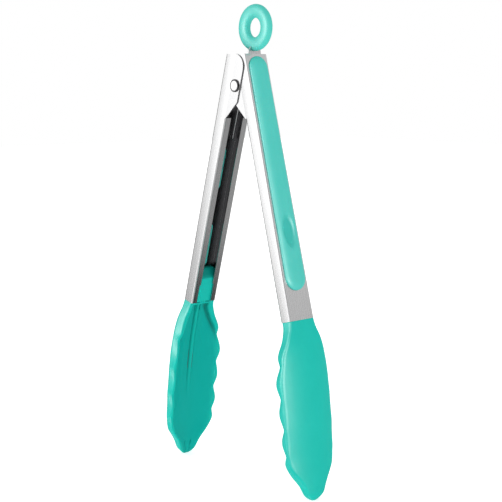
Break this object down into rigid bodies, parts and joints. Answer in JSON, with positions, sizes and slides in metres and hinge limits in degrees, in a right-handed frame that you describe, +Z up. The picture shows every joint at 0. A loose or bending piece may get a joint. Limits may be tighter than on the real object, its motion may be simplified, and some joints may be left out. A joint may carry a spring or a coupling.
{
  "type": "kitchen tongs",
  "caption": "Spring loaded kitchen tongs: two pressed steel arms on a rivet, silicone grips and scalloped heads, and a pull ring lock.",
  "frame": {"origin": "centre of the hole in the pull ring, from which the tongs hang", "axes": "+Z up along the closed tongs, ring at the top; +Y along the rivet; +X towards the inner arm; arms sprung open"},
  "size_m": [0.1474, 0.0444, 0.335],
  "materials": {
    "arm_steel": "satin pressed stainless steel",
    "rivet_steel": "bright rivet",
    "bar_steel": "folded stainless strip",
    "spring_wire": "drawn spring wire",
    "grip_silicone": "matt silicone",
    "head_silicone": "matt silicone",
    "core_nylon": "moulded nylon",
    "ring_nylon": "moulded nylon"
  },
  "bodies": {
    "pivot": {"pivot_rivet": "rivet_steel", "torsion_spring": "spring_wire"},
    "outer_arm": {"outer_arm_channel": "arm_steel", "outer_grip": "grip_silicone", "outer_head": "head_silicone", "outer_head_core": "core_nylon"},
    "inner_arm": {"inner_arm_channel": "arm_steel", "inner_grip": "grip_silicone", "inner_head": "head_silicone", "inner_head_core": "core_nylon"},
    "lock": {"lock_bar": "bar_steel", "pull_ring": "ring_nylon"}
  },
  "joints": [
    {"name": "outer_arm_hinge", "type": "hinge", "parent": "pivot", "child": "outer_arm", "pos_m": [-0.0086, 0, -0.0393], "axis": [0, -1, 0], "range_deg": [0, 13.5], "stiffness_Nm_per_rad": 0.32, "springref_deg": -29.79, "deforming": ["torsion_spring"]},
    {"name": "inner_arm_hinge", "type": "hinge", "parent": "pivot", "child": "inner_arm", "pos_m": [-0.0086, 0, -0.0393], "axis": [0, 1, 0], "range_deg": [0, 13.5], "stiffness_Nm_per_rad": 0.32, "springref_deg": -29.79},
    {"name": "ring_slide", "type": "slide", "parent": "pivot", "child": "lock", "axis": [0, 0, 1], "range_m": [0, 0.008]}
  ],
  "couplings": [
    {"joint": "inner_arm_hinge", "follows": "outer_arm_hinge", "ratio": 1}
  ]
}
